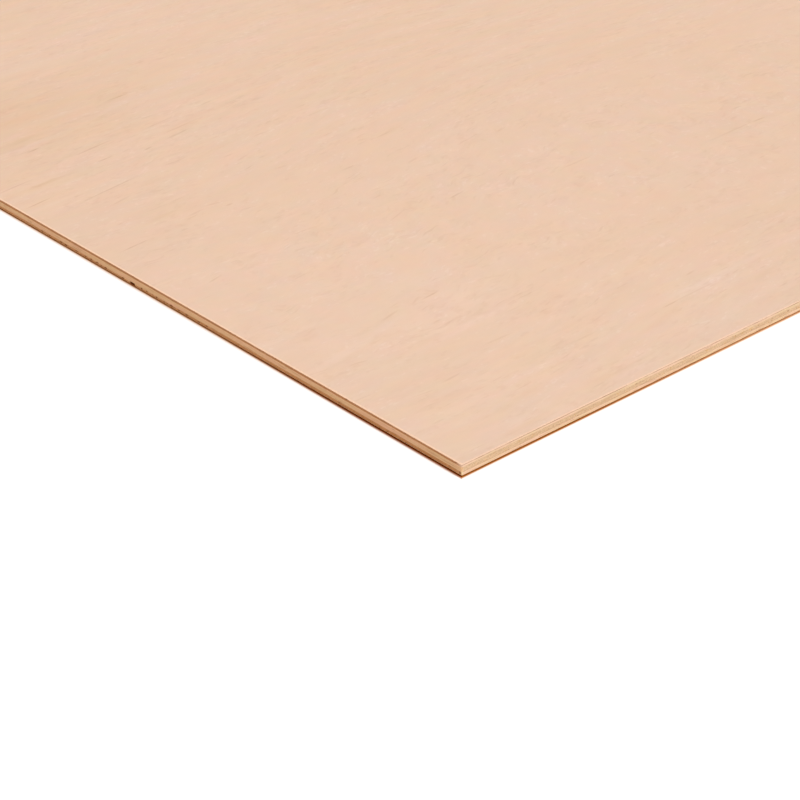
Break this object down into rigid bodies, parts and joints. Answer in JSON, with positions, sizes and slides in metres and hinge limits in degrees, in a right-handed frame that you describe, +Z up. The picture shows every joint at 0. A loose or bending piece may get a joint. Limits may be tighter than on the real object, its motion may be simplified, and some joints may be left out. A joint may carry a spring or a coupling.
{
  "type": "plywood sheet",
  "caption": "Thin cross-laminated plywood sheet with sawn edges that show its plies, lying flat on its back veneer.",
  "frame": {"origin": "middle of the underside, on the surface that the sheet lies on", "axes": "+X along the long side and the grain of the face veneer, +Y across the sheet, +Z up and out of the face veneer"},
  "size_m": [0.6, 0.4, 0.003],
  "materials": {
    "back_veneer": "sanded raw veneer, pale pinkish beige, end grain darker",
    "core_ply": "sawn veneer edge, tan, rough",
    "face_veneer": "finely sanded raw veneer, pale pinkish beige with fine darker flecks"
  },
  "bodies": {
    "root": {"back_veneer": "back_veneer", "core_ply": "core_ply", "face_veneer": "face_veneer"}
  },
  "joints": []
}
